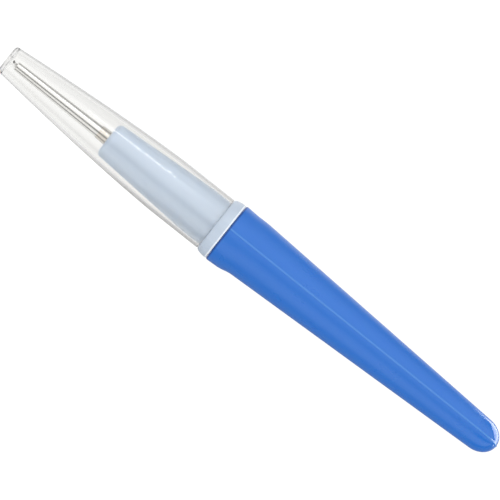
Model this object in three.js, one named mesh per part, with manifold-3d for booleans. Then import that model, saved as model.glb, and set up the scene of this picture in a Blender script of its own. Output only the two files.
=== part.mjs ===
// A straight, capped periodontal probe: a steel shank bonded into a pale nose cone, a hollow
// handle welded up from two half shells, and a clear push-on cap over the working end.
//
// Lengths are millimetres. A station is a place along the tool's axis, measured from the handle's
// front face: positive towards the butt, negative towards the working tip. The tool lies along X
// with its tip at -X, and the handle's seam is in the XZ plane.

import * as THREE from "three";
import { mergeVertices } from "three/addons/utils/BufferGeometryUtils.js";
import Module from "manifold-3d";

// Facets round the axis. An even number puts vertices on the seam plane.
const SEGMENTS = 48;
const SMALL_SEGMENTS = 24;
const ARC_STEPS = 6;

// Handle: a cone with a rounded butt and a raised rim at the front. Behind the rim the cone's
// centre lies a little to the left of the tool's axis, which leaves a step for the finger on the
// right, and it comes back to the axis at the butt.
const HANDLE_LENGTH = 72.4;
const HANDLE_FRONT_RADIUS = 6.88;
const HANDLE_BUTT_RADIUS = 3.72;
const HANDLE_WALL = 1.5;
const BUTT_ROUND_LENGTH = 4.6;
const BODY_OFFSET = 0.34;
const RIM_LENGTH = 2.8;
const RIM_FADE = 3.6;
const RIM_RISE = 0.13;
const RIM_FILLET = 0.25;
const SEAM_RISE = 0.1;
const SEAM_HALF_WIDTH = 0.25;
const SHELL_GAP = 0.1;
const HOLLOW_OVERLAP = 0.5;

// Bosses inside the shells: pins on the left shell go into sockets in the right one.
const BOSS_COUNT = 3;
const BOSS_RADIUS = 2.0;
const PIN_RADIUS = 1.0;
const PIN_LENGTH = 2.0;
const PIN_GAP = 0.15;

// Nose cone, moulded in one piece with the collar and the spigot that the shells close on.
const NOSE_REACH = 31.6;
const NOSE_FRONT_RADIUS = 4.0;
const NOSE_FILLET = 1.25;
const SEAT_RADIUS = 5.5;
const SEAT_LENGTH = 5.0;
const COLLAR_LENGTH = 2.7;
const COLLAR_STEP = 0.15;
const COLLAR_BACK_FILLET = 0.2;
const COLLAR_INSET = 0.1;
const SOCKET_WALL = 1.98;
const SPIGOT_LENGTH = 9.0;
const SPIGOT_CHAMFER = 0.5;
const SPIGOT_GAP = 0.1;
const FACE_GAP = 0.05;
const SPIGOT_WALL = 1.7;
const CORE_WEB = 1.4;

// Probe: a tapered shank with an offset point that carries a small ball, and a grooved tang.
const SHANK_LENGTH = 24.5;
const SHANK_ROOT_RADIUS = 1.46;
const SHANK_TIP_RADIUS = 1.03;
const POINT_LENGTH = 1.0;
const POINT_OFFSET = 0.36;
const NECK_RADIUS = 0.2;
const BALL_RADIUS = 0.3;
const TANG_LENGTH = 12.0;
const GROOVE_COUNT = 4;
const GROOVE_DEPTH = 0.2;
const GROOVE_WIDTH = 1.0;

// Adhesive that bonds the tang in the nose and creeps a little way up the shank.
const BOND_THICKNESS = 0.3;
const BOND_GAP = 0.04;
const FILM_LENGTH = 2.4;
const FILM_EDGE = 0.06;

// Cap: a thin clear tube that narrows to a flat end with a vent hole.
const CAP_WALL = 0.7;
const CAP_END_WALL = 0.85;
const CAP_TIP_RADIUS = 3.26;
const CAP_STRAIGHT_LENGTH = 12.0;
const CAP_TAPER_POWER = 1.45;
const CAP_TIP_FILLET = 0.6;
const CAP_MOUTH_FILLET = 0.15;
const CAP_STOP_GAP = 0.1;
const CAP_FIT_GAP = 0.1;
const TIP_CLEARANCE = 0.4;
const VENT_RADIUS = 0.95;

// What the sizes above lead to.
const BUTT_STATION = HANDLE_LENGTH - BUTT_ROUND_LENGTH;
const SOCKET_RADIUS = HANDLE_FRONT_RADIUS - SOCKET_WALL;
const SOCKET_LENGTH = SPIGOT_LENGTH + SPIGOT_GAP;
const SPIGOT_RADIUS = SOCKET_RADIUS - SPIGOT_GAP;
const CORE_RADIUS = SPIGOT_RADIUS - SPIGOT_WALL;
const NOSE_FACE = -NOSE_REACH;
const SHANK_END = NOSE_FACE - SHANK_LENGTH;
const BALL_STATION = SHANK_END - POINT_LENGTH;
const TANG_END = NOSE_FACE + TANG_LENGTH;
const BOND_INNER_RADIUS = SHANK_ROOT_RADIUS + BOND_GAP;
const BOND_OUTER_RADIUS = BOND_INNER_RADIUS + BOND_THICKNESS;
const BORE_RADIUS = BOND_OUTER_RADIUS + BOND_GAP;
const BORE_END = TANG_END + BOND_GAP;
const CORE_END = BORE_END + CORE_WEB;
const CAP_MOUTH = -(COLLAR_LENGTH + CAP_STOP_GAP);
const CAP_TIP = BALL_STATION - BALL_RADIUS - TIP_CLEARANCE - CAP_END_WALL;
const CAP_LENGTH = CAP_MOUTH - CAP_TIP;
const CAP_BORE_RADIUS = SEAT_RADIUS + CAP_FIT_GAP;
const CAP_MOUTH_RADIUS = CAP_BORE_RADIUS + CAP_WALL;
const COLLAR_FRONT_RADIUS = CAP_MOUTH_RADIUS - COLLAR_STEP;

const wasm = await Module();
wasm.setup();

// A closed geometry as a manifold-3d solid.
function solidOf(geometry) {
  const bare = geometry.clone();
  bare.deleteAttribute("normal");
  bare.deleteAttribute("uv");
  const merged = mergeVertices(bare, 1e-4);
  const mesh = new wasm.Mesh({
    numProp: 3,
    vertProperties: merged.attributes.position.array,
    triVerts: new Uint32Array(merged.index.array),
  });
  return new wasm.Manifold(mesh);
}

// A manifold-3d solid as a geometry.
function geometryOf(solid) {
  const mesh = solid.getMesh();
  const geometry = new THREE.BufferGeometry();
  geometry.setAttribute("position", new THREE.BufferAttribute(mesh.vertProperties, 3));
  geometry.setIndex(new THREE.BufferAttribute(mesh.triVerts, 1));
  geometry.computeVertexNormals();
  return geometry;
}

// Turns an outline of [station, radius] points about the tool's axis.
function revolve(outline, segments = SEGMENTS) {
  const profile = outline.map(([station, radius]) => new THREE.Vector2(radius, station));
  const geometry = new THREE.LatheGeometry(profile, segments);
  geometry.rotateZ(-Math.PI / 2);
  return geometry;
}

// Points of an elliptical arc about [station, radius], from one angle to another in degrees.
// Zero points along the axis towards the butt, and 90 points straight out from the axis.
function arc([station, radius], alongAxis, acrossAxis, from, to, steps = ARC_STEPS) {
  const points = [];
  for (let i = 0; i <= steps; i++) {
    const angle = THREE.MathUtils.degToRad(from + ((to - from) * i) / steps);
    points.push([station + alongAxis * Math.cos(angle), radius + acrossAxis * Math.sin(angle)]);
  }
  return points;
}

// Points of a curve radius(station) from one station to another.
function sweep(radius, from, to, steps) {
  const points = [];
  for (let i = 0; i <= steps; i++) {
    const station = from + ((to - from) * i) / steps;
    points.push([station, radius(station)]);
  }
  return points;
}

function cylinderAcross(radius, station, fromY, toY) {
  const geometry = new THREE.CylinderGeometry(radius, radius, toY - fromY, SMALL_SEGMENTS);
  geometry.translate(station, (fromY + toY) / 2, 0);
  return solidOf(geometry);
}

function named(name, geometry, color, roughness, metalness, opacity = 1) {
  const material = new THREE.MeshStandardMaterial({ color, roughness, metalness });
  material.opacity = opacity;
  material.transparent = opacity < 1;
  const mesh = new THREE.Mesh(geometry, material);
  mesh.name = name;
  return mesh;
}

function handleRadius(station) {
  const taper = (HANDLE_FRONT_RADIUS - HANDLE_BUTT_RADIUS) / BUTT_STATION;
  const fade = THREE.MathUtils.smoothstep(station, RIM_LENGTH, RIM_LENGTH + RIM_FADE);
  return HANDLE_FRONT_RADIUS - taper * station + RIM_RISE * (1 - fade);
}

// Moves each point of a handle geometry sideways with the centre of the cone at its station.
function offsetBody(geometry) {
  const position = geometry.getAttribute("position");
  for (let i = 0; i < position.count; i++) {
    const station = position.getX(i);
    const fade = THREE.MathUtils.smoothstep(station, RIM_LENGTH, RIM_LENGTH + RIM_FADE);
    const share = fade * Math.max(0, 1 - station / BUTT_STATION);
    position.setY(i, position.getY(i) + BODY_OFFSET * share);
  }
  return geometry;
}

// The handle's outside from the front edge to the butt, raised by a given amount.
function handleOutline(raised) {
  const rimCentre = handleRadius(RIM_FILLET) + raised - RIM_FILLET;
  const rimEnd = RIM_LENGTH + RIM_FADE;
  const radius = (station) => handleRadius(station) + raised;
  return [
    ...arc([RIM_FILLET, rimCentre], RIM_FILLET, RIM_FILLET, 180, 90, 3),
    ...sweep(radius, RIM_LENGTH, rimEnd, 5),
    ...sweep(radius, rimEnd, BUTT_STATION, 4).slice(1),
    ...arc([BUTT_STATION, 0], BUTT_ROUND_LENGTH + raised, radius(BUTT_STATION), 90, 0, 8).slice(1),
  ];
}

// The space inside the handle: a socket for the spigot, then a cone that follows the outside.
function handleHollow() {
  const radius = (station) => handleRadius(station) - HANDLE_WALL;
  const coneStart = SOCKET_LENGTH - HOLLOW_OVERLAP;
  const coneEnd = BUTT_STATION - HANDLE_WALL / 2;
  const end = arc([coneEnd, 0], BUTT_ROUND_LENGTH - HANDLE_WALL, radius(coneEnd), 90, 0);
  const socket = revolve([
    [-HOLLOW_OVERLAP, 0],
    [-HOLLOW_OVERLAP, SOCKET_RADIUS],
    [SOCKET_LENGTH, SOCKET_RADIUS],
    [SOCKET_LENGTH, 0],
  ]);
  const cone = revolve([[coneStart, 0], ...sweep(radius, coneStart, coneEnd, 4).slice(0, -1), ...end]);
  return solidOf(socket).add(solidOf(offsetBody(cone)));
}

// A thin plate on the seam plane whose edge stands just proud of the handle.
function seamBead() {
  const edge = handleOutline(SEAM_RISE).map(([station, radius]) => new THREE.Vector2(station, radius));
  const mirrored = edge.slice(0, -1).map((point) => new THREE.Vector2(point.x, -point.y));
  const outline = new THREE.Shape([...edge, ...mirrored.reverse()]);
  const depth = 2 * SEAM_HALF_WIDTH;
  const plate = new THREE.ExtrudeGeometry(outline, { depth, bevelEnabled: false });
  plate.translate(0, 0, -SEAM_HALF_WIDTH);
  plate.rotateX(Math.PI / 2);
  return solidOf(plate);
}

// One side of the seam: +1 is the left shell, which has the pins, and -1 is the right shell.
function handleShell(side) {
  const solid = solidOf(offsetBody(revolve([[0, 0], ...handleOutline(0)])));
  const bossEnds = [SOCKET_LENGTH + 2 * BOSS_RADIUS, BUTT_STATION - 3 * BOSS_RADIUS];
  const near = (side * SHELL_GAP) / 2;
  const far = side * 2 * HANDLE_FRONT_RADIUS;
  const half = new THREE.BoxGeometry(2 * HANDLE_LENGTH, Math.abs(far - near), 4 * HANDLE_FRONT_RADIUS);
  half.translate(HANDLE_LENGTH / 2, (near + far) / 2, 0);
  let shell = solid.add(seamBead()).subtract(handleHollow()).intersect(solidOf(half));
  for (let i = 0; i < BOSS_COUNT; i++) {
    const station = THREE.MathUtils.lerp(...bossEnds, i / (BOSS_COUNT - 1));
    const boss = cylinderAcross(BOSS_RADIUS, station, Math.min(near, far), Math.max(near, far));
    shell = shell.add(boss.intersect(solid));
    shell = side > 0
      ? shell.add(cylinderAcross(PIN_RADIUS, station, -PIN_LENGTH, PIN_LENGTH))
      : shell.subtract(cylinderAcross(PIN_RADIUS + PIN_GAP, station, -PIN_LENGTH - PIN_GAP, 1));
  }
  return geometryOf(shell);
}

function nose() {
  const seatStart = -(COLLAR_LENGTH + SEAT_LENGTH);
  const collarBackRadius = handleRadius(0) - COLLAR_INSET;
  const collarCrest = -FACE_GAP - COLLAR_BACK_FILLET;
  return revolve([
    [BORE_END, 0],
    [BORE_END, BORE_RADIUS],
    [NOSE_FACE, BORE_RADIUS],
    ...arc([NOSE_FACE + NOSE_FILLET, NOSE_FRONT_RADIUS - NOSE_FILLET], NOSE_FILLET, NOSE_FILLET, 180, 90),
    [seatStart, SEAT_RADIUS],
    [-COLLAR_LENGTH, SEAT_RADIUS],
    ...arc([collarCrest, COLLAR_FRONT_RADIUS], COLLAR_LENGTH + collarCrest,
      collarBackRadius - COLLAR_FRONT_RADIUS, 180, 90),
    ...arc([collarCrest, collarBackRadius - COLLAR_BACK_FILLET],
      COLLAR_BACK_FILLET, COLLAR_BACK_FILLET, 90, 0, 3).slice(1),
    [-FACE_GAP, SPIGOT_RADIUS],
    [SPIGOT_LENGTH - SPIGOT_CHAMFER, SPIGOT_RADIUS],
    [SPIGOT_LENGTH, SPIGOT_RADIUS - SPIGOT_CHAMFER],
    [SPIGOT_LENGTH, CORE_RADIUS],
    [CORE_END, CORE_RADIUS],
    [CORE_END, 0],
  ]);
}

function probe() {
  const bottom = SHANK_ROOT_RADIUS - GROOVE_DEPTH;
  const pitch = TANG_LENGTH / (GROOVE_COUNT + 1);
  const grooves = [];
  for (let i = 1; i <= GROOVE_COUNT; i++) {
    const middle = NOSE_FACE + i * pitch;
    const front = middle - GROOVE_WIDTH / 2;
    const back = middle + GROOVE_WIDTH / 2;
    grooves.push([front - GROOVE_DEPTH, SHANK_ROOT_RADIUS], [front, bottom]);
    grooves.push([back, bottom], [back + GROOVE_DEPTH, SHANK_ROOT_RADIUS]);
  }
  const shank = solidOf(revolve([
    [SHANK_END, 0],
    [SHANK_END, SHANK_TIP_RADIUS],
    [NOSE_FACE, SHANK_ROOT_RADIUS],
    ...grooves,
    [TANG_END, SHANK_ROOT_RADIUS],
    [TANG_END, 0],
  ], SMALL_SEGMENTS));
  const point = revolve([
    [BALL_STATION, 0],
    [BALL_STATION, NECK_RADIUS],
    [SHANK_END, SHANK_TIP_RADIUS],
    [SHANK_END + POINT_LENGTH, SHANK_TIP_RADIUS / 2],
    [SHANK_END + POINT_LENGTH, 0],
  ], SMALL_SEGMENTS);
  // Slants the point so that its end lies POINT_OFFSET off the axis.
  const slant = new THREE.Matrix4().makeShear(-POINT_OFFSET / POINT_LENGTH, 0, 0, 0, 0, 0);
  point.translate(-SHANK_END, 0, 0).applyMatrix4(slant).translate(SHANK_END, 0, 0);
  const ball = new THREE.SphereGeometry(BALL_RADIUS, SMALL_SEGMENTS, SMALL_SEGMENTS / 2);
  ball.translate(BALL_STATION, POINT_OFFSET, 0);
  return geometryOf(shank.add(solidOf(point)).add(solidOf(ball)));
}

function bondBead() {
  const filmStart = NOSE_FACE - FILM_LENGTH;
  const shankTaper = (SHANK_ROOT_RADIUS - SHANK_TIP_RADIUS) / SHANK_LENGTH;
  const shankRadius = (station) => SHANK_ROOT_RADIUS - shankTaper * Math.max(0, NOSE_FACE - station);
  const filmRadius = (station) => {
    const along = (station - filmStart) / FILM_LENGTH;
    const thickness = FILM_EDGE + (BOND_THICKNESS - FILM_EDGE) * along ** 2;
    return shankRadius(station) + BOND_GAP + thickness;
  };
  return revolve([
    [filmStart, shankRadius(filmStart) + BOND_GAP],
    ...sweep(filmRadius, filmStart, NOSE_FACE, 5),
    [TANG_END, BOND_OUTER_RADIUS],
    [TANG_END, BOND_INNER_RADIUS],
    [NOSE_FACE, BOND_INNER_RADIUS],
    [filmStart, shankRadius(filmStart) + BOND_GAP],
  ], SMALL_SEGMENTS);
}

function capRadius(station) {
  const along = Math.max(0, CAP_MOUTH - station - CAP_STRAIGHT_LENGTH);
  const share = along / (CAP_LENGTH - CAP_STRAIGHT_LENGTH);
  return CAP_MOUTH_RADIUS - (CAP_MOUTH_RADIUS - CAP_TIP_RADIUS) * share ** CAP_TAPER_POWER;
}

function cap() {
  const innerRadius = (station) => capRadius(station) - CAP_WALL;
  const outerStart = CAP_TIP + CAP_TIP_FILLET;
  const innerStart = CAP_TIP + CAP_END_WALL;
  const straightStart = CAP_MOUTH - CAP_STRAIGHT_LENGTH;
  const tipCentre = [outerStart, capRadius(outerStart) - CAP_TIP_FILLET];
  return revolve([
    [CAP_TIP, VENT_RADIUS],
    ...arc(tipCentre, CAP_TIP_FILLET, CAP_TIP_FILLET, 180, 90),
    ...sweep(capRadius, outerStart, straightStart, 9).slice(1),
    [CAP_MOUTH - CAP_MOUTH_FILLET, CAP_MOUTH_RADIUS],
    [CAP_MOUTH, CAP_MOUTH_RADIUS - CAP_MOUTH_FILLET],
    [CAP_MOUTH, CAP_BORE_RADIUS],
    ...sweep(innerRadius, straightStart, innerStart, 9),
    [innerStart, VENT_RADIUS],
    [CAP_TIP, VENT_RADIUS],
  ]);
}

const tool = new THREE.Group();
tool.add(named("cap", cap(), 0xf3f5f5, 0.06, 0, 0.3));
tool.add(named("probe", probe(), 0xc9c8c4, 0.18, 1));
tool.add(named("bond_bead", bondBead(), 0xc99a62, 0.35, 0));
tool.add(named("nose", nose(), 0xcbdaef, 0.35, 0));
tool.add(named("handle_shell_left", handleShell(1), 0x3f7edb, 0.28, 0));
tool.add(named("handle_shell_right", handleShell(-1), 0x3f7edb, 0.28, 0));

// The origin is under the middle of the tool, on the surface that it lies on.
const lowest = Math.max(...handleOutline(SEAM_RISE).map(([, radius]) => radius));
tool.position.set(-(CAP_TIP + HANDLE_LENGTH + SEAM_RISE) / 2, 0, lowest);

export default tool;
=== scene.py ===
"""Looks for a capped periodontal probe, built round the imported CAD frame.

Sizes below are millimetres. A station is a place along the tool's axis, measured from the handle's
front face: positive towards the butt, negative towards the working tip. The tool lies along X with
its tip at -X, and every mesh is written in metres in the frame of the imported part.
"""

import math

import bmesh
import bpy
from mathutils import Matrix, Vector


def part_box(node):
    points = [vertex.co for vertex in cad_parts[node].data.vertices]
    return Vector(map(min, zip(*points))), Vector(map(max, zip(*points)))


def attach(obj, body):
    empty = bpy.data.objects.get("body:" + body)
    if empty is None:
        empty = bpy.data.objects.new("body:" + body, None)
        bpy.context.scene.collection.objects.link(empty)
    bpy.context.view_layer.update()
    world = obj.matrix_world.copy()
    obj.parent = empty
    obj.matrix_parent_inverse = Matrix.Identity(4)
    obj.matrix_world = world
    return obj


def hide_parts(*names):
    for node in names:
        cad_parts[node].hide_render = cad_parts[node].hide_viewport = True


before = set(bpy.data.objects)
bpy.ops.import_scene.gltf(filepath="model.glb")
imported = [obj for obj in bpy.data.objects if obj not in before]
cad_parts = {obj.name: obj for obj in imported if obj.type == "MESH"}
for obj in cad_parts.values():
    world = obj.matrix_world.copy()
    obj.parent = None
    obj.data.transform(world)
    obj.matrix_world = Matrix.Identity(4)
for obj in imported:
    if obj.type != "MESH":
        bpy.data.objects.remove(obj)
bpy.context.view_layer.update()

MM = 0.001

# ---------------------------------------------------------------- sizes, as the CAD part has them
HANDLE_LENGTH = 72.4
HANDLE_FRONT_RADIUS = 6.88
HANDLE_BUTT_RADIUS = 3.72
HANDLE_WALL = 1.5
BUTT_ROUND_LENGTH = 4.6
BUTT_STATION = HANDLE_LENGTH - BUTT_ROUND_LENGTH
BODY_OFFSET = 0.34
RIM_LENGTH = 2.8
RIM_FADE = 3.6
RIM_RISE = 0.13
RIM_FILLET = 0.40
SEAM_RISE = 0.1
SEAM_HALF_WIDTH = 0.25
SEAM_SKIRT = 0.07  # how far past its half width the bead runs out
SEAM_LEAD = 0.6  # the length at the front over which it rises to its height

NOSE_FACE = -31.6
NOSE_FRONT_RADIUS = 4.0
NOSE_FILLET = 1.25
SEAT_RADIUS = 5.5
SEAT_LENGTH = 5.0
COLLAR_LENGTH = 2.7
COLLAR_FRONT_RADIUS = 6.15
COLLAR_BACK_FILLET = 0.2
COLLAR_INSET = 0.1
SPIGOT_RADIUS = 4.8
SPIGOT_LENGTH = 9.0
SPIGOT_GAP = 0.1
FACE_GAP = 0.05
CORE_RADIUS = 3.1
CORE_WEB = 1.4
BORE_MOUTH_FILLET = 0.12
SEAT_FRONT_FILLET = 2.0
SEAT_BACK_FILLET = 0.15
SPIGOT_END_FILLET = 0.5
CORE_MOUTH_FILLET = 0.3
CORE_END_FILLET = 0.6
SMALL_FILLET = 0.1

SHANK_LENGTH = 24.5
SHANK_END = NOSE_FACE - SHANK_LENGTH
SHANK_ROOT_RADIUS = 1.46
SHANK_TIP_RADIUS = 1.03
SHANK_FILLET = 0.12
POINT_LENGTH = 1.0
POINT_OFFSET = 0.36
POINT_HOLLOW_POWER = 2.2
BALL_RADIUS = 0.3
BALL_ARC = 138  # degrees from the tip to where the point meets the ball
BALL_STATION = SHANK_END - POINT_LENGTH
TANG_LENGTH = 12.0
TANG_END = NOSE_FACE + TANG_LENGTH

BOND_GAP = 0.04
BOND_THICKNESS = 0.3
FILM_LENGTH = 2.4
FILM_EDGE = 0.05
FILM_EDGE_SHARE = 0.125
FILM_SWELL = 0.15

CAP_WALL = 0.7
CAP_END_WALL = 0.85
CAP_TIP_RADIUS = 3.26
CAP_MOUTH_RADIUS = 6.3
CAP_STRAIGHT_LENGTH = 12.0
CAP_TAPER_POWER = 1.45
CAP_TIP_FILLET = 0.6
CAP_MOUTH_FILLET = 0.18
CAP_LIP_FILLET = 0.12
CAP_END_FILLET = 0.35
VENT_RADIUS = 0.95
VENT_FILLET = 0.12

# ---------------------------------------------------------------- fineness of the meshes
WIDE_SEGMENTS = 256
SLIM_SEGMENTS = 96
BODY_STEPS = 72
RIM_STEPS = 26
BUTT_STEPS = 30
EDGE_STEPS = 6
COLLAR_STEPS = 14
NOSE_FILLET_STEPS = 8
BALL_STEP = 6  # degrees
POINT_STEPS = 14
SHOULDER_STEPS = 5
SHANK_STEPS = 24
FILM_STEPS = 16
CAP_STEPS = 60
CAP_INSIDE_STEPS = 58
CAP_FILLET_STEPS = 6
HALF_FACETS = 96
BEAD_STEPS = (0, 0.03, 0.06, 0.1, 0.14, 0.18, 0.22, 0.26, 0.3, 0.34, 0.42, 0.6)  # mm from the seam
FILLET_SHARE = 0.45  # most of an edge that one corner's fillet may take
SHARP_ANGLE = math.radians(50)  # edges that turn more than this stay sharp

# Stations of the cap and the place of station 0 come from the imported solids.
nose_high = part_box("nose")[1]
cap_low, cap_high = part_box("cap")
ORIGIN_X = nose_high.x / MM - SPIGOT_LENGTH
AXIS_Z = (cap_low.z + cap_high.z) / 2 / MM
CAP_TIP = cap_low.x / MM - ORIGIN_X
CAP_MOUTH = cap_high.x / MM - ORIGIN_X
CAP_LENGTH = CAP_MOUTH - CAP_TIP


# ---------------------------------------------------------------- outlines and meshes
def smoothstep(x, low, high):
    t = min(1.0, max(0.0, (x - low) / (high - low)))
    return t * t * (3 - 2 * t)


def arc(station, radius, along, across, start, end, steps):
    """Points of an elliptical arc; 0 degrees points to the butt and 90 away from the axis."""
    points = []
    for i in range(steps + 1):
        a = math.radians(start + (end - start) * i / steps)
        points.append((station + along * math.cos(a), radius + across * math.sin(a)))
    return points


def sweep(radius, start, end, steps):
    """Points along an outline whose radius is a function of the station."""
    stations = [start + (end - start) * i / steps for i in range(steps + 1)]
    return [(station, radius(station)) for station in stations]


def rounded(outline, steps):
    """A closed outline in which a point (station, radius, fillet) becomes a round corner."""
    made = []
    count = len(outline)
    for i, point in enumerate(outline):
        fillet = point[2] if len(point) > 2 else 0
        here = Vector(point[:2])
        if fillet <= 0:
            made.append(tuple(here))
            continue
        back = Vector(outline[i - 1][:2]) - here
        on = Vector(outline[(i + 1) % count][:2]) - here
        half = back.angle(on) / 2
        longest = FILLET_SHARE * min(back.length, on.length)
        reach = min(fillet / math.tan(half), longest)
        radius = reach * math.tan(half)
        inwards = (back.normalized() + on.normalized()).normalized()
        centre = here + inwards * (radius / math.sin(half))
        start = here + back.normalized() * reach - centre
        end = here + on.normalized() * reach - centre
        turn = start.angle_signed(end)
        for k in range(steps + 1):
            a = turn * k / steps
            c, s = math.cos(-a), math.sin(-a)
            made.append((centre.x + start.x * c - start.y * s, centre.y + start.x * s + start.y * c))
    return made


def placed(station, y, z):
    """A point of the tool, from millimetres about its axis to metres in the part's frame."""
    return Vector(((ORIGIN_X + station) * MM, y * MM, (AXIS_Z + z) * MM))


def finish_mesh(name, bm):
    bmesh.ops.remove_doubles(bm, verts=bm.verts, dist=1e-8)
    bmesh.ops.dissolve_degenerate(bm, edges=bm.edges, dist=1e-9)
    bmesh.ops.recalc_face_normals(bm, faces=bm.faces)
    mesh = bpy.data.meshes.new(name)
    bm.to_mesh(mesh)
    bm.free()
    mesh.polygons.foreach_set("use_smooth", [True] * len(mesh.polygons))
    mesh.set_sharp_from_angle(angle=SHARP_ANGLE)
    piece = bpy.data.objects.new(name, mesh)
    bpy.context.scene.collection.objects.link(piece)
    weighted = piece.modifiers.new("face_weights", "WEIGHTED_NORMAL")
    weighted.keep_sharp = True
    return piece


def grid_faces(bm, rows, wrap_rows, wrap_columns):
    """Faces between rows of vertices; a row or column past the last one is the first again."""
    count = len(rows)
    width = len(rows[0])
    for i in range(count if wrap_rows else count - 1):
        for k in range(width if wrap_columns else width - 1):
            a, b = rows[i], rows[(i + 1) % count]
            n = (k + 1) % width
            bm.faces.new((a[k], b[k], b[n], a[n]))


def revolved(name, outline, segments, closed=True, bend=None):
    """A body turned about the axis. bend moves a point (station, y, z) to its final place."""
    bm = bmesh.new()
    rows = []
    for station, radius in outline:
        row = []
        for k in range(segments):
            a = 2 * math.pi * k / segments
            point = (station, radius * math.cos(a), radius * math.sin(a))
            row.append(bm.verts.new(placed(*(bend(*point) if bend else point))))
        rows.append(row)
    grid_faces(bm, rows, closed, True)
    return finish_mesh(name, bm)


# ---------------------------------------------------------------- handle
def handle_radius(station):
    taper = (HANDLE_FRONT_RADIUS - HANDLE_BUTT_RADIUS) / BUTT_STATION
    fade = smoothstep(station, RIM_LENGTH, RIM_LENGTH + RIM_FADE)
    return HANDLE_FRONT_RADIUS - taper * station + RIM_RISE * (1 - fade)


def body_offset(station):
    fade = smoothstep(station, RIM_LENGTH, RIM_LENGTH + RIM_FADE)
    return BODY_OFFSET * fade * max(0.0, 1 - station / BUTT_STATION)


def seam_height(across, station):
    """Height of the weld bead, by its distance from the seam plane."""
    share = min(1.0, abs(across) / (SEAM_HALF_WIDTH + SEAM_SKIRT))
    return SEAM_RISE * (0.5 + 0.5 * math.cos(math.pi * share)) * smoothstep(station, 0, SEAM_LEAD)


def handle_outlines():
    """The outside and the inside of the shell, point for point, from the front to the butt."""
    rim_end = RIM_LENGTH + RIM_FADE
    front_radius = handle_radius(RIM_FILLET) - RIM_FILLET
    front = arc(RIM_FILLET, front_radius, RIM_FILLET, RIM_FILLET, 180, 90, EDGE_STEPS)
    rim = sweep(handle_radius, RIM_FILLET, rim_end, RIM_STEPS)[1:]
    body = sweep(handle_radius, rim_end, BUTT_STATION, BODY_STEPS)[1:]
    turns = [math.pi / 2 * i / BUTT_STEPS for i in range(1, BUTT_STEPS + 1)]
    butt_radius = handle_radius(BUTT_STATION)
    butt = [
        (BUTT_STATION + BUTT_ROUND_LENGTH * math.sin(a), butt_radius * math.cos(a)) for a in turns
    ]
    cone_end = BUTT_STATION - HANDLE_WALL / 2
    end_reach = BUTT_ROUND_LENGTH - HANDLE_WALL
    end_radius = handle_radius(cone_end) - HANDLE_WALL
    inner = []
    for station, _ in front + rim + body:
        if station <= SPIGOT_LENGTH + SPIGOT_GAP:
            inner.append((station, SPIGOT_RADIUS + SPIGOT_GAP))
        else:
            at = min(station, cone_end)
            inner.append((at, handle_radius(at) - HANDLE_WALL))
    inner[0] = (0.0, inner[0][1])
    inner += [(cone_end + end_reach * math.sin(a), end_radius * math.cos(a)) for a in turns]
    return front + rim + body + butt, inner


def turn_angles(radius, offset, side):
    """Angles across one half, close together at the weld bead at both edges."""
    reach = max(radius, 1e-6)
    seam = math.acos(max(-1.0, min(1.0, -side * offset / reach)))
    step = 2 * seam / HALF_FACETS
    near = [min(b / reach, i * step) for i, b in enumerate(BEAD_STEPS)]
    inner_count = HALF_FACETS - 2 * (len(near) - 1)
    left = seam - near[-1]
    middle = [left - 2 * left * i / inner_count for i in range(1, inner_count)]
    return [seam - n for n in near] + middle + [-seam + n for n in reversed(near)]


def outside_row(outer, i, side):
    """Points across the outside of one half at point i of its outline, raised at the weld."""
    station, radius = outer[i]
    ahead = outer[min(i + 1, len(outer) - 1)]
    behind = outer[max(i - 1, 0)]
    slope = Vector((ahead[0] - behind[0], ahead[1] - behind[1])).normalized()
    offset = body_offset(station)
    row = []
    for angle in turn_angles(radius, offset, side):
        high = seam_height(offset + side * radius * math.cos(angle), station)
        r = radius + slope.x * high
        y = offset + side * r * math.cos(angle)
        row.append(placed(station - slope.y * high, y, r * math.sin(angle)))
    return row


def inside_row(station, radius, side):
    """Points across the inside of one half; the socket for the nose lies on the tool's axis."""
    offset = 0.0 if station <= SPIGOT_LENGTH + SPIGOT_GAP else body_offset(station)
    angles = turn_angles(radius, offset, side)
    return [placed(station, offset + side * radius * math.cos(a), radius * math.sin(a)) for a in angles]


def handle_half(name, side):
    outer, inner = handle_outlines()
    bm = bmesh.new()
    outer_rows = []
    inner_rows = []
    for i, (station, radius) in enumerate(inner):
        outer_rows.append([bm.verts.new(point) for point in outside_row(outer, i, side)])
        inner_rows.append([bm.verts.new(point) for point in inside_row(station, radius, side)])
    grid_faces(bm, outer_rows, False, False)
    grid_faces(bm, inner_rows, False, False)
    grid_faces(bm, [outer_rows[0], inner_rows[0]], False, False)
    for edge in (0, -1):
        rims = [[row[edge] for row in rows] for rows in (outer_rows, inner_rows)]
        grid_faces(bm, rims, False, False)
    return finish_mesh(name, bm)


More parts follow.
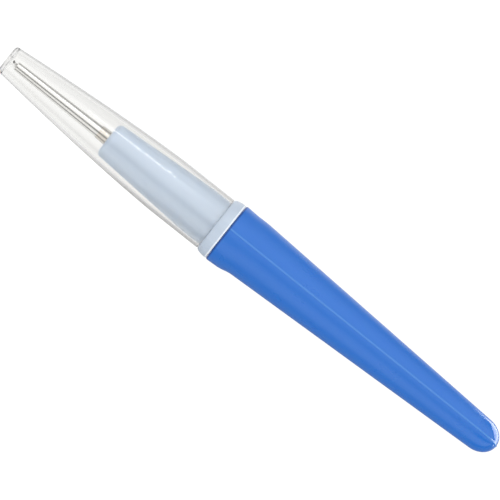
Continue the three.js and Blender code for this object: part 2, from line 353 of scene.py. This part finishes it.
# ---------------------------------------------------------------- nose, probe, film and cap
def nose_outline():
    back_radius = handle_radius(0) - COLLAR_INSET
    crest = -FACE_GAP - COLLAR_BACK_FILLET
    bore_radius = SHANK_ROOT_RADIUS + BOND_GAP + BOND_THICKNESS + BOND_GAP
    bore_end = TANG_END + BOND_GAP
    swell = back_radius - COLLAR_FRONT_RADIUS
    collar = arc(crest, COLLAR_FRONT_RADIUS, COLLAR_LENGTH + crest, swell, 180, 90, COLLAR_STEPS)
    back_centre = back_radius - COLLAR_BACK_FILLET
    back = arc(crest, back_centre, COLLAR_BACK_FILLET, COLLAR_BACK_FILLET, 90, 0, EDGE_STEPS)
    return rounded(
        [
            (bore_end, 0),
            (bore_end, bore_radius, SMALL_FILLET),
            (NOSE_FACE, bore_radius, BORE_MOUTH_FILLET),
            (NOSE_FACE, NOSE_FRONT_RADIUS, NOSE_FILLET),
            (-(COLLAR_LENGTH + SEAT_LENGTH), SEAT_RADIUS, SEAT_FRONT_FILLET),
            (-COLLAR_LENGTH, SEAT_RADIUS, SEAT_BACK_FILLET),
            (-COLLAR_LENGTH, COLLAR_FRONT_RADIUS),
            *collar[1:],
            *back[1:],
            (-FACE_GAP, SPIGOT_RADIUS, SMALL_FILLET),
            (SPIGOT_LENGTH, SPIGOT_RADIUS, SPIGOT_END_FILLET),
            (SPIGOT_LENGTH, CORE_RADIUS, CORE_MOUTH_FILLET),
            (bore_end + CORE_WEB, CORE_RADIUS, CORE_END_FILLET),
            (bore_end + CORE_WEB, 0),
        ],
        NOSE_FILLET_STEPS,
    )


def shank_radius(station):
    taper = (SHANK_ROOT_RADIUS - SHANK_TIP_RADIUS) / SHANK_LENGTH
    return SHANK_ROOT_RADIUS - taper * max(0.0, NOSE_FACE - station)


def probe_piece():
    """The shank with its tang, and a slanting point that carries the ball."""

    def slant(station, y, z):
        along = max(0.0, SHANK_END - station) / POINT_LENGTH
        return station, y + POINT_OFFSET * along, z

    ball = [
        (BALL_STATION - BALL_RADIUS * math.cos(a), BALL_RADIUS * math.sin(a))
        for a in (math.radians(d) for d in range(0, BALL_ARC + 1, BALL_STEP))
    ]
    neck_station, neck_radius = ball[-1]
    foot_radius = SHANK_TIP_RADIUS - SHANK_FILLET
    point = []
    for i in range(1, POINT_STEPS + 1):
        t = i / POINT_STEPS
        # The point's flank is hollow, as a ground one is.
        radius = neck_radius + (foot_radius - neck_radius) * t**POINT_HOLLOW_POWER
        point.append((neck_station + (SHANK_END - neck_station) * t, radius))
    flank_start = SHANK_END + SHANK_FILLET
    shoulder = arc(
        flank_start, foot_radius, SHANK_FILLET, SHANK_FILLET, 180, 90, SHOULDER_STEPS
    )
    flank = sweep(shank_radius, flank_start, NOSE_FACE, SHANK_STEPS)
    tang = [(TANG_END, SHANK_ROOT_RADIUS), (TANG_END, 0)]
    outline = ball + point + shoulder[1:] + flank[1:] + tang
    return revolved("probe_shank", outline, SLIM_SEGMENTS, closed=False, bend=slant)


def film_outline():
    start = NOSE_FACE - FILM_LENGTH
    outer = []
    for i in range(FILM_STEPS + 1):
        t = i / FILM_STEPS
        station = start + FILM_LENGTH * t
        # A rounded edge at the front, then a slow swell towards the nose.
        edge = FILM_EDGE * math.sqrt(min(1, t / FILM_EDGE_SHARE))
        thickness = edge + FILM_SWELL * (BOND_THICKNESS - FILM_EDGE) * t**2
        outer.append((station, shank_radius(station) + BOND_GAP + thickness))
    back = SHANK_ROOT_RADIUS + BOND_GAP
    return [*outer, (TANG_END, back + BOND_THICKNESS), (TANG_END, back), (NOSE_FACE, back)]


def cap_radius(station):
    along = max(0.0, CAP_MOUTH - station - CAP_STRAIGHT_LENGTH)
    share = along / (CAP_LENGTH - CAP_STRAIGHT_LENGTH)
    return CAP_MOUTH_RADIUS - (CAP_MOUTH_RADIUS - CAP_TIP_RADIUS) * share**CAP_TAPER_POWER


def cap_outline():
    straight = CAP_MOUTH - CAP_STRAIGHT_LENGTH
    outer = sweep(cap_radius, CAP_TIP, straight, CAP_STEPS)
    inside = sweep(cap_radius, CAP_TIP + CAP_END_WALL, straight, CAP_INSIDE_STEPS)
    inner = [(station, radius - CAP_WALL) for station, radius in inside]
    return rounded(
        [
            (CAP_TIP, VENT_RADIUS, VENT_FILLET),
            (CAP_TIP, outer[0][1], CAP_TIP_FILLET),
            *outer[2:],
            (CAP_MOUTH, CAP_MOUTH_RADIUS, CAP_MOUTH_FILLET),
            (CAP_MOUTH, CAP_MOUTH_RADIUS - CAP_WALL, CAP_LIP_FILLET),
            *reversed(inner[2:]),
            (CAP_TIP + CAP_END_WALL, inner[0][1], CAP_END_FILLET),
            (CAP_TIP + CAP_END_WALL, VENT_RADIUS, VENT_FILLET),
        ],
        CAP_FILLET_STEPS,
    )


# ---------------------------------------------------------------- materials
class Nodes:
    """A short way to write the node tree of a material or a world: each call makes what it names
    and links what it is given."""

    def __init__(self, owner, output):
        self.owner = owner
        owner.use_nodes = True
        self.tree = owner.node_tree
        self.tree.nodes.clear()
        self.output = self.tree.nodes.new(output)

    def make(self, kind, inputs=(), **settings):
        node = self.tree.nodes.new(kind)
        for key, value in settings.items():
            setattr(node, key, value)
        for key, value in dict(inputs).items():
            if isinstance(value, bpy.types.NodeSocket):
                self.tree.links.new(value, node.inputs[key])
            else:
                node.inputs[key].default_value = value
        return node

    def math(self, operation, a, b=0.0, c=0.0, clamp=False):
        inputs = {0: a, 1: b, 2: c}
        return self.make("ShaderNodeMath", inputs, operation=operation, use_clamp=clamp).outputs[0]

    def stretched(self, scale):
        """Object coordinates, drawn out along the axis where scale is small."""
        where = self.make("ShaderNodeTexCoord").outputs["Object"]
        return self.make("ShaderNodeMapping", {"Vector": where, "Scale": scale}).outputs[0]

    def place(self):
        """The station, and how far to the left of the plane of the seam, both in mm."""
        where = self.make("ShaderNodeTexCoord").outputs["Object"]
        split = self.make("ShaderNodeSeparateXYZ", {0: where})
        station = self.math("SUBTRACT", self.math("MULTIPLY", split.outputs["X"], 1 / MM), ORIGIN_X)
        return station, self.math("MULTIPLY", split.outputs["Y"], 1 / MM)

    def noise(self, scale, detail, size=(1, 1, 1), roughness=0.5):
        inputs = {
            "Vector": self.stretched(size),
            "Scale": scale,
            "Detail": detail,
            "Roughness": roughness,
        }
        return self.make("ShaderNodeTexNoise", inputs).outputs["Fac"]

    def ramp(self, factor, *stops):
        node = self.make("ShaderNodeValToRGB", {"Fac": factor})
        elements = node.color_ramp.elements
        while len(elements) < len(stops):
            elements.new(0.5)
        for element, (position, colour) in zip(elements, stops):
            element.position = position
            element.color = (*colour, 1) if isinstance(colour, tuple) else (colour,) * 3 + (1,)
        return node.outputs[0]

    def blend(self, factor, a, b, kind="MIX"):
        node = self.make("ShaderNodeMix", data_type="RGBA", blend_type=kind)
        for socket, value in zip((node.inputs[0], node.inputs[6], node.inputs[7]), (factor, a, b)):
            if isinstance(value, bpy.types.NodeSocket):
                self.tree.links.new(value, socket)
            else:
                socket.default_value = value if socket.type != "RGBA" else (*value, 1)
        return node.outputs[2]

    def bump(self, height, distance, strength, after=None):
        """A bump of the given height in mm, on top of the normal that comes before it."""
        inputs = {"Height": height, "Distance": distance * MM, "Strength": strength}
        if after is not None:
            inputs["Normal"] = after
        return self.make("ShaderNodeBump", inputs).outputs[0]

    def surface(self, shader):
        self.tree.links.new(shader, self.output.inputs["Surface"])
        return self.owner


def material_nodes(name):
    return Nodes(bpy.data.materials.new(name), "ShaderNodeOutputMaterial")


# Shares of the handle's length between which its satin gives way to the butt's shine.
SATIN_END = 0.915
SHINE_START = 0.945


def blue_plastic():
    n = material_nodes("blue_plastic")
    cloud = n.noise(90, 2, (0.35, 1, 1))
    grain = n.noise(2600, 2)
    colour = n.blend(cloud, (0.015, 0.141, 0.535), (0.022, 0.157, 0.570))
    colour = n.blend(n.math("MULTIPLY", grain, 0.05), colour, (0.09, 0.25, 0.68))
    # The weld bead is painted paler, by its distance from the seam plane: a painted highlight along the
    # seam.
    station, side = n.place()
    weld = n.ramp(n.math("ABSOLUTE", side), (0.10, 0.85), (SEAM_HALF_WIDTH + 0.01, 0.0))
    colour = n.blend(weld, colour, (0.070, 0.240, 0.64))
    # The front edge is painted deep navy: painted shade on its rounding.
    colour = n.blend(n.ramp(station, (0.30, 0.75), (0.48, 0.0)), colour, (0.004, 0.045, 0.22))
    smudge = n.ramp(n.noise(260, 4, (0.5, 1, 1)), (0.35, 0.27), (0.75, 0.34))
    # Handling has left the body satin; the butt keeps its shine.
    along = n.math("MULTIPLY", station, 1 / HANDLE_LENGTH)
    shine = n.ramp(along, (SATIN_END, 0.0), (SHINE_START, 1.0))
    smudge = n.blend(shine, smudge, (0.09, 0.09, 0.09))
    sink = n.bump(n.noise(130, 2, (0.3, 1, 1)), 0.04, 0.25)
    normal = n.bump(grain, 0.002, 0.4, sink)
    shader = n.make(
        "ShaderNodeBsdfPrincipled",
        {"Base Color": colour, "Roughness": smudge, "IOR": 1.49, "Normal": normal,
         "Subsurface Weight": 0.12, "Subsurface Radius": (0.2, 0.5, 1.0),
         "Subsurface Scale": 0.6 * MM},
    )
    return n.surface(shader.outputs[0])


def pale_plastic():
    n = material_nodes("pale_plastic")
    streak = n.noise(520, 3, (0.035, 1, 1))
    cloud = n.noise(120, 2, (0.5, 1, 1))
    colour = n.blend(cloud, (0.602, 0.696, 0.832), (0.639, 0.736, 0.860))
    colour = n.blend(n.ramp(streak, (0.38, 0.0), (0.68, 0.30)), colour, (0.522, 0.608, 0.736))
    # The collar is painted a little darker than the rest of the moulding, a painted shade.
    before = n.math("MULTIPLY", n.place()[0], -1)
    collar_end = COLLAR_LENGTH / 10
    collar = n.ramp(n.math("MULTIPLY", before, 0.1), (collar_end, 1.0), (collar_end + 0.01, 0.0))
    colour = n.blend(collar, colour, n.blend(1.0, colour, (0.805, 0.80, 0.79), "MULTIPLY"))
    # A paler band on the crest just before the handle is a painted highlight.
    crest = n.ramp(before, (0.02, 0.0), (0.06, 1.0), (0.34, 1.0), (0.50, 0.0))
    colour = n.blend(crest, colour, (0.80, 0.87, 0.96))
    rough = n.ramp(n.noise(300, 4, (0.3, 1, 1)), (0.3, 0.26), (0.8, 0.36))
    normal = n.bump(streak, 0.03, 0.5)
    normal = n.bump(n.noise(3000, 2), 0.003, 0.5, normal)
    shader = n.make(
        "ShaderNodeBsdfPrincipled",
        {"Base Color": colour, "Roughness": rough, "IOR": 1.49, "Normal": normal,
         "Subsurface Weight": 0.35, "Subsurface Radius": (0.8, 0.9, 1.0),
         "Subsurface Scale": 1.2 * MM},
    )
    return n.surface(shader.outputs[0])


def polished_steel():
    n = material_nodes("polished_steel")
    drawn = n.noise(5200, 3, (0.015, 1, 1), 0.6)
    colour = n.blend(n.noise(400, 2, (0.1, 1, 1)), (0.76, 0.75, 0.73), (0.86, 0.855, 0.84))
    # The ball is painted dark: a painted dark reflection.
    ahead = n.math("SUBTRACT", SHANK_END, n.place()[0])
    ball_start = POINT_LENGTH - BALL_RADIUS
    ball_dark_reflection = n.ramp(ahead, (ball_start, 0.0), (ball_start + 0.08, 1.0))
    colour = n.blend(ball_dark_reflection, colour, (0.16, 0.155, 0.15))
    rough = n.ramp(drawn, (0.3, 0.10), (0.75, 0.22))
    normal = n.bump(drawn, 0.0015, 0.5)
    shader = n.make(
        "ShaderNodeBsdfPrincipled",
        {"Base Color": colour, "Metallic": 1.0, "Roughness": rough, "Normal": normal},
    )
    return n.surface(shader.outputs[0])


def amber_adhesive():
    n = material_nodes("amber_adhesive")
    cloud = n.noise(900, 3)
    colour = n.blend(cloud, (0.972, 0.940, 0.895), (0.988, 0.972, 0.95))
    rough = n.ramp(cloud, (0.3, 0.10), (0.8, 0.22))
    shader = n.make(
        "ShaderNodeBsdfPrincipled",
        {"Base Color": colour, "Roughness": rough, "IOR": 1.5, "Transmission Weight": 1.0,
         "Normal": n.bump(cloud, 0.04, 0.6)},
    )
    return n.surface(shader.outputs[0])


def painted_wall_shade(n, colour):
    """The colour, greyed near the silhouette where the wall is seen edge-on: painted shade on the clear
    wall.
    """
    slant = n.make("ShaderNodeLayerWeight", {"Blend": 0.5}).outputs["Facing"]
    edge_shade = n.ramp(slant, (0.46, 1.0), (0.55, 0.64), (0.64, 0.40), (1.0, 0.40))
    facing = n.make("ShaderNodeSeparateXYZ", {0: n.make("ShaderNodeNewGeometry").outputs["Normal"]})
    on_side = n.ramp(n.math("ABSOLUTE", facing.outputs["X"]), (0.3, 1.0), (0.7, 0.0))
    # Towards the tip the painted wall shade is painted lighter on the tool's right side.
    from_tip = n.math("MULTIPLY", n.math("SUBTRACT", n.place()[0], CAP_TIP), 1 / CAP_LENGTH)
    amount = n.ramp(from_tip, (0.35, 0.35), (0.65, 1.0))
    right_side = n.ramp(n.math("MULTIPLY", facing.outputs["Y"], -1), (0.0, 0.0), (0.3, 1.0))
    on_side = n.math("MULTIPLY", on_side, n.blend(right_side, (0.96, 0.96, 0.96), amount))
    return n.blend(on_side, colour, n.blend(1.0, colour, edge_shade, "MULTIPLY"))


def clear_plastic(name, outside):
    n = material_nodes(name)
    wave = n.noise(110, 2, (0.25, 1, 1))
    haze = n.ramp(n.noise(500, 4, (0.3, 1, 1)), (0.4, 0.015), (0.8, 0.05))
    # The end wall is left frosted by the mould.
    from_tip = n.math("SUBTRACT", n.place()[0], CAP_TIP)
    haze = n.blend(n.ramp(from_tip, (0.75, 1.0), (1.0, 0.0)), haze, (0.30, 0.30, 0.30))
    colour = n.blend(wave, (0.984, 0.983, 0.972), (0.993, 0.992, 0.983))
    if outside:
        # The outside wall gets the painted shade near its silhouette.
        colour = painted_wall_shade(n, colour)
    shader = n.make(
        "ShaderNodeBsdfPrincipled",
        {"Base Color": colour, "Roughness": haze, "IOR": 1.49, "Transmission Weight": 1.0,
         "Normal": n.bump(wave, 0.03, 0.15)},
    )
    clear = n.make("ShaderNodeBsdfTransparent", {"Color": (0.995, 0.995, 0.99, 1)})
    path = n.make("ShaderNodeLightPath")
    mix = n.make(
        "ShaderNodeMixShader",
        {0: path.outputs["Is Shadow Ray"], 1: shader.outputs[0], 2: clear.outputs[0]},
    )
    return n.surface(mix.outputs[0])


# ---------------------------------------------------------------- pieces
def dressed(piece, material, body, slot, *nodes):
    piece.data.materials.append(material)
    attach(piece, body)
    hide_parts(*nodes)


blue = blue_plastic()
dressed(handle_half("handle_left", 1), blue, "body", "blue_plastic", "handle_shell_left")
dressed(handle_half("handle_right", -1), blue, "body", "blue_plastic", "handle_shell_right")
nose = revolved("nose_moulding", nose_outline(), WIDE_SEGMENTS)
dressed(nose, pale_plastic(), "body", "pale_plastic", "nose")
dressed(probe_piece(), polished_steel(), "body", "polished_steel", "probe")
film = revolved("adhesive_film", film_outline(), SLIM_SEGMENTS)
dressed(film, amber_adhesive(), "body", "amber_adhesive", "bond_bead")
cap = revolved("clear_cap", cap_outline(), WIDE_SEGMENTS)
dressed(cap, clear_plastic("clear_plastic", True), "cap", "clear_plastic", "cap")
cap.data.materials.append(clear_plastic("clear_plastic_inside", False))
for face in cap.data.polygons:
    outwards = Vector((0, face.center.y, face.center.z - AXIS_Z * MM))
    face.material_index = 0 if face.normal.dot(outwards) > 0 else 1


# ---------------------------------------------------------------- stage, light and camera
VIEW_TILT = math.radians(9)  # the seam lies this far round from the middle of the view
VIEW_ROLL = math.radians(38.43)  # the tool points this far below the horizontal
VIEW_CENTRE = (0.40, 0.57)  # mm that the middle of the view lies left of and above the origin
FRAME_WIDTH = 105.0  # mm of the tool's surroundings that the view takes in
DISTANCE = 1500.0

to_butt = Vector((1, 0, 0))
towards_camera = Vector((0, -math.sin(VIEW_TILT), math.cos(VIEW_TILT)))
across = towards_camera.cross(to_butt)
right = to_butt * math.cos(VIEW_ROLL) + across * math.sin(VIEW_ROLL)
up = across * math.cos(VIEW_ROLL) - to_butt * math.sin(VIEW_ROLL)
middle = Vector((0, 0, AXIS_Z * MM)) - right * VIEW_CENTRE[0] * MM + up * VIEW_CENTRE[1] * MM


def facing(place, direction, x_hint):
    """The matrix of a camera or lamp at a place: it looks against direction, with X near x_hint."""
    z = direction.normalized()
    x = (x_hint - z * x_hint.dot(z)).normalized()
    turn = Matrix((x, z.cross(x), z)).transposed()
    return Matrix.Translation(place) @ turn.to_4x4()


def set_camera():
    data = bpy.data.cameras.new("camera")
    data.sensor_width = 36
    data.lens = data.sensor_width * DISTANCE / FRAME_WIDTH
    data.clip_start = 0.1
    data.clip_end = 100
    camera = bpy.data.objects.new("camera", data)
    bpy.context.scene.collection.objects.link(camera)
    camera.matrix_world = facing(middle + towards_camera * DISTANCE * MM, towards_camera, right)
    bpy.context.scene.camera = camera


set_camera()


def area_light(name, size, power, matrix):
    """A rectangular lamp, in metres and watts, that the camera doesn't see."""
    data = bpy.data.lights.new(name, "AREA")
    data.shape = "RECTANGLE"
    data.size, data.size_y = size
    data.energy = power
    light = bpy.data.objects.new(name, data)
    bpy.context.scene.collection.objects.link(light)
    light.matrix_world = matrix
    light.visible_camera = False
    return light


def softbox(name, turn, lean, distance, size, power):
    """A lamp aimed at the tool: turn degrees from the camera's line towards the tool's left side,
    and lean degrees towards the butt."""
    t = math.radians(turn)
    b = math.radians(lean)
    level = towards_camera * math.cos(t) + across * math.sin(t)
    direction = level * math.cos(b) + to_butt * math.sin(b)
    matrix = facing(middle + direction * distance, direction, to_butt)
    area_light(name, size, power, matrix)


softbox("window", turn=47, lean=-8, distance=0.9, size=(0.14, 0.022), power=0.18)

# The card that glints in the butt's rounding: how far round from the tool's line it stands, and
# how far beyond the butt and how high above the table its ends are.
CARD_TURN = math.radians(50)
CARD_NEAR = (10, 1)
CARD_FAR = (60, 18)
CARD_WIDTH = 34
CARD_RADIANCE = 6.0


def butt_card():
    """A bright card that leans up from the table beyond the butt, seen only in reflections."""
    out = Vector((math.cos(CARD_TURN), math.sin(CARD_TURN), 0))
    under_butt = placed(HANDLE_LENGTH, 0, -AXIS_Z)
    near, far = (
        under_butt + out * (beyond * MM) + Vector((0, 0, height * MM))
        for beyond, height in (CARD_NEAR, CARD_FAR)
    )
    length = (far - near).length
    rise = (far - near).normalized()
    back = rise.cross(Vector((0, 0, 1))).cross(rise) * -1
    width = CARD_WIDTH * MM
    power = CARD_RADIANCE * math.pi * length * width
    matrix = facing((near + far) / 2, back, rise)
    card = area_light("butt_card", (length, width), power, matrix)
    card.visible_diffuse = False
    card.visible_transmission = False


butt_card()

# Brightness of the studio by the angle round the tool's line, in degrees from straight up towards
# the tool's left side: lamps at both sides of the camera, and a dim room at the horizon.
STUDIO = (
    (-100, 0.20), (-86, 0.25), (-78, 0.82), (-55, 1.08), (-38, 0.75), (-30, 0.15), (-19, 0.15),
    (-11, 0.75), (5, 1.15), (40, 1.15), (55, 0.88), (70, 0.60), (80, 0.28), (100, 0.20),
)
# The same, by how far the direction points to the butt: the room behind the tip is dimmer.
STUDIO_ENDS = ((0.0, 0.75), (0.22, 0.85), (0.42, 0.97), (0.5, 1.0), (1.0, 1.1))
# The light that matt surfaces gather, by the same angle.
STUDIO_FILL = ((-100, 1.15), (-45, 1.32), (-10, 1.17), (45, 1.00), (78, 1.6), (100, 2.6))
STUDIO_STRENGTH = 1.15


def once_round(table):
    """The stops of a ramp that runs once round the tool's line, from a table by degrees."""
    return [(degrees / 360 + 0.5, level) for degrees, level in table]


def studio_world():
    n = Nodes(bpy.data.worlds.new("studio"), "ShaderNodeOutputWorld")
    where = n.make("ShaderNodeTexCoord").outputs["Generated"]
    split = n.make("ShaderNodeSeparateXYZ", {0: where})
    angle = n.math("ARCTAN2", split.outputs["Y"], split.outputs["Z"])
    turn_range = {"Value": angle, "From Min": -math.pi, "From Max": math.pi}
    turn = n.make("ShaderNodeMapRange", turn_range).outputs[0]
    to_end = n.math("MULTIPLY_ADD", split.outputs["X"], 0.5, 0.5)
    lamps = n.blend(1.0, n.ramp(turn, *once_round(STUDIO)), n.ramp(to_end, *STUDIO_ENDS), "MULTIPLY")
    lit = n.make("ShaderNodeBackground", {"Color": lamps, "Strength": STUDIO_STRENGTH})
    fill = n.make("ShaderNodeBackground", {"Color": n.ramp(turn, *once_round(STUDIO_FILL))})
    backdrop = n.make("ShaderNodeBackground")
    path = n.make("ShaderNodeLightPath").outputs
    # Rays that have met no matt surface on their way see the lamps; all others see the fill.
    bright = n.math("MAXIMUM", path["Is Glossy Ray"], path["Is Transmission Ray"])
    mirrored = n.math("SUBTRACT", bright, path["Diffuse Depth"], clamp=True)
    room = n.make("ShaderNodeMixShader", {0: mirrored, 1: fill.outputs[0], 2: lit.outputs[0]})
    seen = {0: path["Is Camera Ray"], 1: room.outputs[0], 2: backdrop.outputs[0]}
    return n.surface(n.make("ShaderNodeMixShader", seen).outputs[0])


bpy.context.scene.world = studio_world()

FLOOR_RADIUS = 30.0
FLOOR_GLOW = 0.96


def floor():
    bm = bmesh.new()
    bmesh.ops.create_circle(bm, cap_ends=True, segments=SLIM_SEGMENTS, radius=FLOOR_RADIUS)
    mesh = bpy.data.meshes.new("floor")
    bm.to_mesh(mesh)
    bm.free()
    piece = bpy.data.objects.new("floor", mesh)
    bpy.context.scene.collection.objects.link(piece)
    n = material_nodes("floor_white")
    # Mirror-like surfaces and the clear plastic see a white sheet under the tool on a dark table,
    # and mirror-like ones see it shaded on the tool's right side. Matt ones see a plain grey floor.
    side = n.math("MULTIPLY", n.place()[1], 0.01)
    sheet = n.ramp(n.math("ABSOLUTE", side), (0.25, 1.0), (0.45, 0.15))
    shaded = n.ramp(n.math("ADD", side, 0.5), (0.42, 0.22), (0.52, 0.80))
    shader = n.make("ShaderNodeBsdfDiffuse", {"Color": (0.55, 0.55, 0.55, 1)}).outputs[0]
    thin = n.make("ShaderNodeBsdfDiffuse", {"Color": (0.12, 0.12, 0.12, 1)})
    path = n.make("ShaderNodeLightPath").outputs
    for rays, strength in (
        ("Is Glossy Ray", n.math("MULTIPLY", sheet, shaded)),
        ("Is Transmission Ray", n.math("MULTIPLY", sheet, 0.83)),
        ("Is Camera Ray", FLOOR_GLOW),
    ):
        glow = n.make("ShaderNodeEmission", {"Strength": strength})
        seen = n.make("ShaderNodeAddShader", {0: glow.outputs[0], 1: thin.outputs[0]}).outputs[0]
        shader = n.make("ShaderNodeMixShader", {0: path[rays], 1: shader, 2: seen}).outputs[0]
    mesh.materials.append(n.surface(shader))


floor()
bpy.context.scene.view_settings.view_transform = "Standard"
